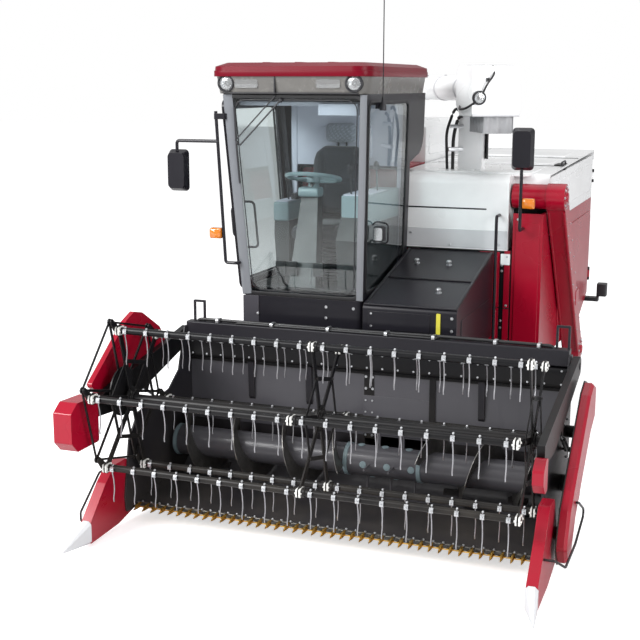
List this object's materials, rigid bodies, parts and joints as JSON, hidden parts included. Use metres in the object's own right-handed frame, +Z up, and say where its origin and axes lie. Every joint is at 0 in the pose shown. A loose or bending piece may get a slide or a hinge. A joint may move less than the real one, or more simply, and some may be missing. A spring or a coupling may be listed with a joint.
{
  "type": "combine harvester",
  "caption": "Compact rubber-tracked combine harvester with a cab on the right, a full-width grain header with a tine reel, and a swinging unloading auger on top.",
  "frame": {"origin": "middle of the bounding box at ground level", "axes": "+Z up, the machine drives towards -Y, +X is its left side"},
  "size_m": [2.8392, 5.6, 3.5],
  "materials": {
    "white_paint": "gloss white enamel",
    "red_paint": "gloss crimson enamel",
    "black_paint": "satin black enamel",
    "cab_metal": "semi-gloss charcoal enamel",
    "zinc_plate": "yellow zinc plate, worn",
    "steel": "worn bare steel",
    "tine_steel": "dull grey coated steel",
    "piston_rod": "hard chrome",
    "engine_iron": "dark grey enamel",
    "track_rubber": "matt black rubber",
    "cab_plastic": "matt dark grey plastic",
    "seat_cloth": "dark grey cloth",
    "cab_glass": "clear safety glass",
    "lamp_lens": "clear and amber lamp plastic"
  },
  "bodies": {
    "chassis": {"auger_rest": "white_paint", "cab_base": "cab_metal", "cab_glass": "cab_glass", "cab_roof": "red_paint", "cab_shell": "cab_metal", "control_console": "cab_plastic", "engine": "engine_iron", "engine_housing": "red_paint", "entry_step": "black_paint", "feeder_cover": "cab_metal", "front_panels": "red_paint", "fuel_tank": "black_paint", "grain_tank": "white_paint", "lamps": "lamp_lens", "left_track": "track_rubber", "main_frame": "black_paint", "mirrors_antenna": "cab_metal", "operator_seat": "seat_cloth", "return_elevator": "red_paint", "right_track": "track_rubber", "roof_fascia": "cab_plastic", "thresher_body": "black_paint", "thresher_cover": "white_paint", "track_frames": "black_paint", "unload_riser": "white_paint"},
    "header": {"header_frame": "black_paint", "feeder_house": "black_paint", "crop_dividers": "red_paint", "crop_rods": "cab_metal", "divider_noses": "white_paint", "drive_casing": "black_paint", "drive_cover": "red_paint", "cutterbar": "zinc_plate"},
    "reel_arms": {"reel_arms": "black_paint", "reel_drive_cover": "red_paint"},
    "reel": {"reel_frame": "black_paint"},
    "guide_ring": {"guide_ring": "steel"},
    "platform_auger": {"platform_auger": "steel"},
    "cab_door": {"cab_door": "cab_metal", "door_glass": "cab_glass"},
    "side_cover": {"side_cover": "red_paint", "side_cover_top": "white_paint"},
    "radiator_door": {"radiator_door": "black_paint"},
    "rear_hood": {"rear_hood": "red_paint"},
    "unload_turntable": {"unload_elbow": "white_paint"},
    "unload_boom": {"unload_tube": "white_paint", "unload_spout": "white_paint"},
    "unload_cylinder": {"unload_cylinder": "black_paint"},
    "unload_rod": {"unload_rod": "piston_rod"},
    "header_cylinder": {"header_cylinder": "black_paint"},
    "header_rod": {"header_rod": "piston_rod"},
    "reel_cylinder": {"reel_cylinder": "black_paint"},
    "reel_rod": {"reel_rod": "piston_rod"},
    "steering_wheel": {"steering_wheel": "cab_plastic"},
    "tine_bar_1": {"tine_bar_1": "tine_steel"},
    "tine_bar_2": {"tine_bar_2": "tine_steel"},
    "tine_bar_3": {"tine_bar_3": "tine_steel"},
    "tine_bar_4": {"tine_bar_4": "tine_steel"},
    "tine_bar_5": {"tine_bar_5": "tine_steel"},
    "tine_bar_6": {"tine_bar_6": "tine_steel"}
  },
  "joints": [
    {"name": "header_lift", "type": "hinge", "parent": "chassis", "child": "header", "pos_m": [0, -0.1, 1.25], "axis": [-1, 0, 0], "range_deg": [0, 14]},
    {"name": "reel_lift", "type": "hinge", "parent": "header", "child": "reel_arms", "pos_m": [0, -1.33, 1], "axis": [-1, 0, 0], "range_deg": [0, 18]},
    {"name": "reel_spin", "type": "hinge", "parent": "reel_arms", "child": "reel", "pos_m": [0, -2.21, 0.79], "axis": [1, 0, 0], "continuous": true},
    {"name": "tine_bar_1_turn", "type": "hinge", "parent": "reel", "child": "tine_bar_1", "pos_m": [0, -2.33541, 1.22737], "axis": [1, 0, 0], "continuous": true},
    {"name": "tine_bar_2_turn", "type": "hinge", "parent": "reel", "child": "tine_bar_2", "pos_m": [0, -2.65149, 0.90007], "axis": [1, 0, 0], "continuous": true},
    {"name": "tine_bar_3_turn", "type": "hinge", "parent": "reel", "child": "tine_bar_3", "pos_m": [0, -2.52607, 0.4627], "axis": [1, 0, 0], "continuous": true},
    {"name": "tine_bar_4_turn", "type": "hinge", "parent": "reel", "child": "tine_bar_4", "pos_m": [0, -2.08459, 0.35263], "axis": [1, 0, 0], "continuous": true},
    {"name": "tine_bar_5_turn", "type": "hinge", "parent": "reel", "child": "tine_bar_5", "pos_m": [0, -1.76852, 0.67993], "axis": [1, 0, 0], "continuous": true},
    {"name": "tine_bar_6_turn", "type": "hinge", "parent": "reel", "child": "tine_bar_6", "pos_m": [0, -1.89393, 1.1173], "axis": [1, 0, 0], "continuous": true},
    {"name": "guide_ring_spin", "type": "hinge", "parent": "reel_arms", "child": "guide_ring", "pos_m": [0, -2.265, 0.848], "axis": [1, 0, 0], "continuous": true},
    {"name": "auger_spin", "type": "hinge", "parent": "header", "child": "platform_auger", "pos_m": [0, -1.545, 0.35], "axis": [1, 0, 0], "continuous": true},
    {"name": "cab_door", "type": "hinge", "parent": "chassis", "child": "cab_door", "pos_m": [-0.96686, -0.242, 1.5], "axis": [0.0819, 0, -0.9966], "range_deg": [0, 80]},
    {"name": "side_cover", "type": "hinge", "parent": "chassis", "child": "side_cover", "pos_m": [0.86, 2.22, 1.4], "axis": [0, 0, 1], "range_deg": [0, 95]},
    {"name": "radiator_door", "type": "hinge", "parent": "chassis", "child": "radiator_door", "pos_m": [-1.07, 0.558, 1.3], "axis": [0, 0, -1], "range_deg": [0, 100]},
    {"name": "rear_hood", "type": "hinge", "parent": "chassis", "child": "rear_hood", "pos_m": [0.37, 2.258, 1.786], "axis": [1, 0, 0], "range_deg": [0, 70]},
    {"name": "unload_swing", "type": "hinge", "parent": "chassis", "child": "unload_turntable", "pos_m": [-0.8, 1.9, 2.1], "axis": [0, 0, 1], "range_deg": [0, 180]},
    {"name": "unload_raise", "type": "hinge", "parent": "unload_turntable", "child": "unload_boom", "pos_m": [-0.8, 1.9, 2.59], "axis": [-0.8517, -0.5241, 0], "range_deg": [0, 35]},
    {"name": "unload_cylinder_turn", "type": "hinge", "parent": "unload_turntable", "child": "unload_cylinder", "pos_m": [-0.71614, 1.76373, 2.19], "axis": [-0.8517, -0.5241, 0], "range_deg": [0, 12.6]},
    {"name": "unload_rod_slide", "type": "slide", "parent": "unload_cylinder", "child": "unload_rod", "axis": [0.2889, -0.4695, 0.8343], "range_m": [0, 0.2]},
    {"name": "header_cylinder_turn", "type": "hinge", "parent": "chassis", "child": "header_cylinder", "pos_m": [0.02, -0.3, 0.64], "axis": [-1, 0, 0], "range_deg": [0, 19.3]},
    {"name": "header_rod_slide", "type": "slide", "parent": "header_cylinder", "child": "header_rod", "axis": [0, -0.9119, -0.4104], "range_m": [0, 0.1326]},
    {"name": "reel_cylinder_turn", "type": "hinge", "parent": "header", "child": "reel_cylinder", "pos_m": [1.278, -1.56, 0.56], "axis": [-1, 0, 0], "range_deg": [0, 14.6]},
    {"name": "reel_rod_slide", "type": "slide", "parent": "reel_cylinder", "child": "reel_rod", "axis": [0, -0.8564, 0.5163], "range_m": [0, 0.1535]},
    {"name": "steering", "type": "hinge", "parent": "chassis", "child": "steering_wheel", "pos_m": [-0.53, -0.915, 1.985], "axis": [0, 0.21, 0.9777], "range_deg": [-135, 135]}
  ],
  "couplings": [
    {"joint": "tine_bar_1_turn", "follows": "reel_spin", "ratio": -1},
    {"joint": "tine_bar_2_turn", "follows": "reel_spin", "ratio": -1},
    {"joint": "tine_bar_3_turn", "follows": "reel_spin", "ratio": -1},
    {"joint": "tine_bar_4_turn", "follows": "reel_spin", "ratio": -1},
    {"joint": "tine_bar_5_turn", "follows": "reel_spin", "ratio": -1},
    {"joint": "tine_bar_6_turn", "follows": "reel_spin", "ratio": -1},
    {"joint": "guide_ring_spin", "follows": "reel_spin", "ratio": 1},
    {"joint": "unload_cylinder_turn", "follows": "unload_raise", "ratio": 0.35677},
    {"joint": "unload_rod_slide", "follows": "unload_raise", "m_per_rad": 0.32644},
    {"joint": "header_cylinder_turn", "follows": "header_lift", "ratio": 1.368},
    {"joint": "header_rod_slide", "follows": "header_lift", "m_per_rad": 0.5388},
    {"joint": "reel_cylinder_turn", "follows": "reel_lift", "ratio": 0.8053},
    {"joint": "reel_rod_slide", "follows": "reel_lift", "m_per_rad": 0.486}
  ]
}
